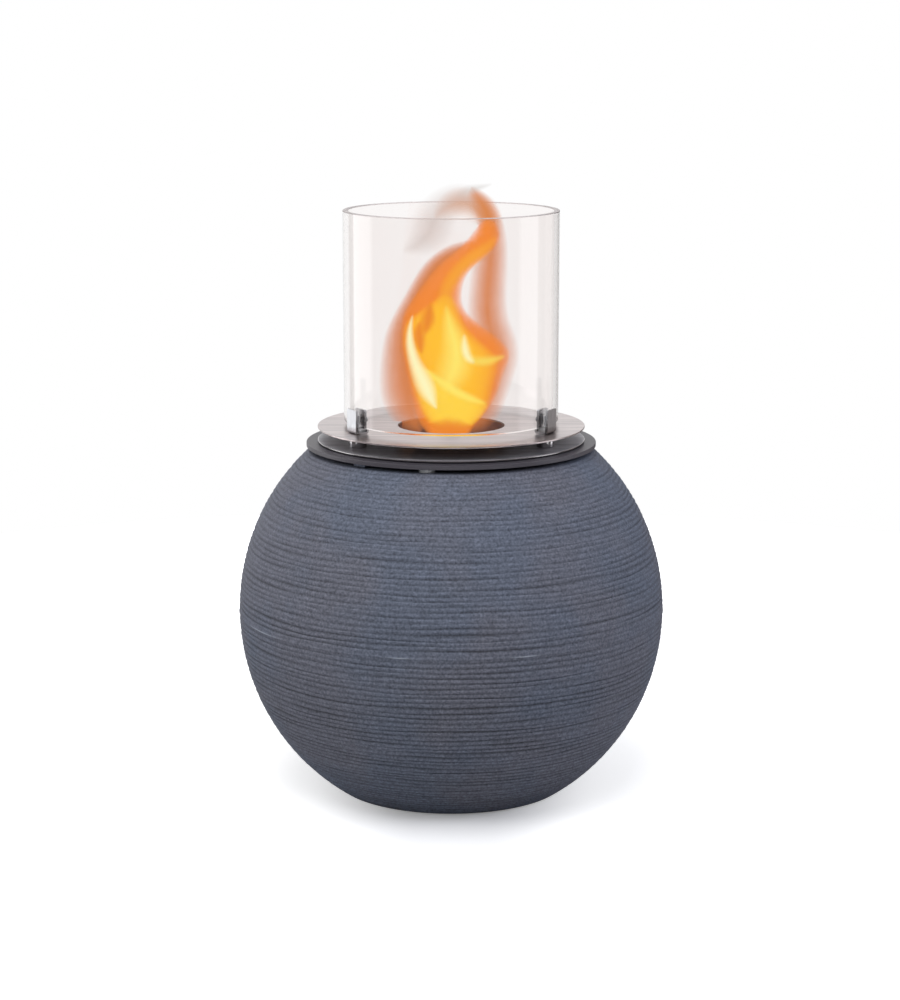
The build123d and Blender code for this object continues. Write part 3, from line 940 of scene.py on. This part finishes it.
def strand(name, path, depth, behind, softness, material, sides=24):
    """A lens-like shape along a path of (across, height, width), thin at both ends."""
    rings = []
    section = soft_round(softness, sides)
    middles = [Vector((x, layer_place(z, behind), z)) for x, z, width in path]
    last = len(path) - 1
    for number, (x, z, width) in enumerate(path):
        ahead = middles[min(number + 1, last)] - middles[max(number - 1, 0)]
        across = Vector((ahead.z, 0, -ahead.x)).normalized()
        thick = depth / 2 * min(1, (END_START + min(number, last - number)) / END_RISE)
        rings.append([(middles[number] + across * (u * width / 2) + Vector((0, v * thick, 0))) * MM
                      for u, v in section])
    return gas_piece(name, rings, material)


def tongue(name, slices, depth, behind, softness, material, sides=28):
    """A round shape through level slices of (height, left, right)."""
    rings = []
    section = soft_round(softness, sides)
    for height, left, right in slices:
        half, middle = (right - left) / 2, (left + right) / 2
        thick = depth / 2 * min(1, half / FULL_DEPTH_HALF_WIDTH)
        rings.append([Vector((middle + u * half, layer_place(height, behind) + v * thick, height)) * MM
                      for u, v in section])
    return gas_piece(name, rings, material)


print("a layer 24 mm behind the axis is at", round(layer_place(400, 24), 1), "mm at a height of 400 mm")

# %% [markdown]
# The outlines come first: the veil and the smoke at the back, the tip and the last wisp, then the orange
# body with a lighter ridge on it, the yellow core with a brighter fold and heart, and the pale streaks
# and darker shades in front.

# %% Flame: outlines in millimetres
LEFT_VEIL = [(-29, 336, 18), (-38, 351, 44), (-40, 370, 58), (-42, 388, 56), (-45, 411, 46), (-45, 431, 36),
             (-39, 449, 26), (-32, 463, 24), (-25, 477, 23), (-16, 491, 23), (-4, 502, 20), (9, 510, 16),
             (24, 516, 8)]
RIGHT_VEIL = [(18, 336, 12), (30, 351, 34), (35, 370, 38), (38, 388, 44), (42, 407, 50), (41, 421, 46),
              (36, 435, 42), (34, 449, 40), (34, 463, 38), (35, 477, 37), (36, 491, 36), (37, 505, 34),
              (38, 519, 30), (37, 533, 26), (32, 547, 22), (25, 558, 18), (18, 568, 6)]
SMOKE = [(-46, 508, 6), (-36, 511, 22), (-24, 518, 38), (-18, 530, 46), (-13, 543, 42), (-3, 553, 36),
         (8, 557, 32), (18, 557, 28), (27, 549, 22), (34, 540, 10)]
BROWN_SMOKE = [(-16, 538, 8), (-5, 549, 28), (8, 554, 34), (20, 551, 32), (30, 541, 26), (37, 527, 12)]
TIP = [(40, 516, 10), (38, 528, 24), (35, 539, 28), (30, 549, 28), (23, 557, 22), (16, 565, 8)]
WISP = [(4, 559, 8), (14, 565, 13), (23, 567, 9), (31, 569, 5), (38, 571, 3)]
BODY = [(332, -18, 13), (340, -26, 20), (351, -33, 28), (360, -35, 36), (370, -38, 42), (379, -40, 46),
        (388, -42, 48), (398, -44, 52), (411, -47, 58), (421, -48, 52), (431, -48, 40), (440, -47, 27),
        (449, -46, 16), (459, -40, 10), (468, -34, 10), (477, -27, 11), (487, -20, 15), (496, -12, 23),
        (502, -5, 30), (510, 5, 39), (517, 12, 45), (524, 18, 46), (531, 23, 44), (538, 28, 41)]
RIDGE = [(-6, 444, 12), (-7, 458, 18), (-5, 474, 17), (2, 487, 16), (12, 498, 16), (24, 507, 16),
         (34, 514, 14), (42, 524, 6)]
CORE = [(341, -12, 14), (346, -19, 20), (352, -26, 28), (360, -30, 34), (370, -34, 38), (379, -37, 39),
        (398, -41, 44), (411, -44, 46), (421, -46, 34), (435, -46, 18), (445, -43, 12), (454, -31, 9),
        (462, -19, 6), (470, -11, 1)]
FOLD = [(344, -8, 16), (352, -20, 24), (360, -26, 31), (367, -29, 35), (370, -30, 35), (374, -31, 28),
        (379, -32, 11), (388, -34, -1), (397, -36, -14), (405, -37, -25)]
HEART = [(-10, 372, 14), (-4, 386, 34), (4, 402, 44), (6, 418, 38), (1, 434, 26), (-3, 450, 16), (-5, 462, 6)]
LEFT_STREAK = [(-35, 454, 3), (-38, 441, 7), (-38, 428, 10), (-36, 418, 12), (-33, 408, 15), (-29, 399, 19),
               (-25, 390, 22), (-21, 381, 20), (-17, 372, 12), (-13, 365, 4)]
RIGHT_STREAK = [(12, 436, 5), (12, 427, 10), (13, 419, 11), (16, 412, 12), (22, 408, 6)]
RIGHT_RIDGE = [(12, 414, 6), (20, 410, 14), (30, 409, 14), (40, 411, 12), (50, 415, 5)]
CREST = [(-24, 404, 4), (-14, 394, 10), (-3, 386, 12), (7, 380, 12), (18, 375, 12), (33, 370, 5)]
SHADES = [[(-19, 464, 5), (-20, 455, 16), (-22, 445, 20), (-24, 434, 5)],
          [(-28, 448, 5), (-30, 438, 16), (-29, 428, 16), (-27, 416, 5)],
          [(-21, 351, 6), (-11, 345, 30), (0, 342, 36), (9, 344, 32), (19, 350, 6)]]
print("the body of the flame reaches from", BODY[0][0], "to", BODY[-1][0], "mm above the floor")

# %% [markdown]
# After its outline each piece gets three numbers: its depth, how far it lies behind the axis (the pieces in
# front have less than zero) and how soft its edge is. The number after a gas's colour is its density. Thin
# smoke is about 100 per metre, and a small bright streak has to be four times as dense to show at all.

# %% Flame: the pieces
veil_gas = glowing_gas("burning_gas_veil", "#dc7c32", 150)
strand("flame_veil_left", LEFT_VEIL, 24, 24, 2.3, veil_gas)
strand("flame_veil_right", RIGHT_VEIL, 17, 24, 2.4, veil_gas)
strand("flame_smoke_grey", SMOKE, 14, 22, 2.4, glowing_gas("soot_smoke", "#cfbdb6", 80))
strand("flame_smoke_brown", BROWN_SMOKE, 14, 20, 2.4, glowing_gas("brown_smoke", "#d59468", 100))
strand("flame_tip", TIP, 14, 12, 2.4, glowing_gas("burning_gas_tip", "#d98a54", 120))
strand("flame_wisp", WISP, 8, 0, 2.0, glowing_gas("thin_smoke", "#c9c2bd", 90))
tongue("flame_body", BODY, 24, 6, 1.9, glowing_gas("burning_gas_body", "#f78710", 300, 1.04))
strand("flame_ridge", RIDGE, 12, -10, 2.4, glowing_gas("burning_gas_ridge", "#ffa820", 220))
tongue("flame_core", CORE, 20, -10, 2.3, glowing_gas("burning_gas_core", "#ffc018", 280, 1.08))
tongue("flame_fold", FOLD, 10, -24, 2.0, glowing_gas("burning_gas_fold", "#ffd43a", 400, 1.08))
strand("flame_heart", HEART, 8, -22, 3.0, glowing_gas("burning_gas_heart", "#ffec6c", 300, 1.06))
hot_gas = glowing_gas("burning_gas_hot", "#fffbc4", 380, 1.06)
strand("flame_streak_left", LEFT_STREAK, 10, -33, 3.0, hot_gas)
strand("flame_streak_right", RIGHT_STREAK, 8, -32, 3.0, hot_gas)
strand("flame_ridge_right", RIGHT_RIDGE, 8, -28, 3.0, glowing_gas("burning_gas_warm", "#ffe05a", 400))
strand("flame_crest", CREST, 8, -31, 3.0, glowing_gas("burning_gas_crest", "#ffe864", 460, 1.06))
shade_gas = glowing_gas("burning_gas_shade", "#f48804", 900)
for number, shade in enumerate(SHADES, 1):
    strand(f"flame_shade_{number}", shade, 8, -30, 3.0, shade_gas)

# %% [markdown]
# Volumes light their surroundings only weakly, so a small lamp in the flame gives the cup and the disc
# their warm tone. It rides on the burner, as the flame does.

# %% Flame: its light
flame_glow = bpy.data.lights.new("flame_glow", "POINT")
flame_glow.energy = 0.5
flame_glow.shadow_soft_size = 0.02
flame_glow.color = linear("#ffa040")[:3]
glow_holder = put("flame_glow", flame_glow)
glow_holder.location = (0, -0.01, 0.375)
glow_holder.visible_glossy = glow_holder.visible_transmission = False
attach(glow_holder, "burner")
print("the flame's lamp gives", flame_glow.energy, "watts")
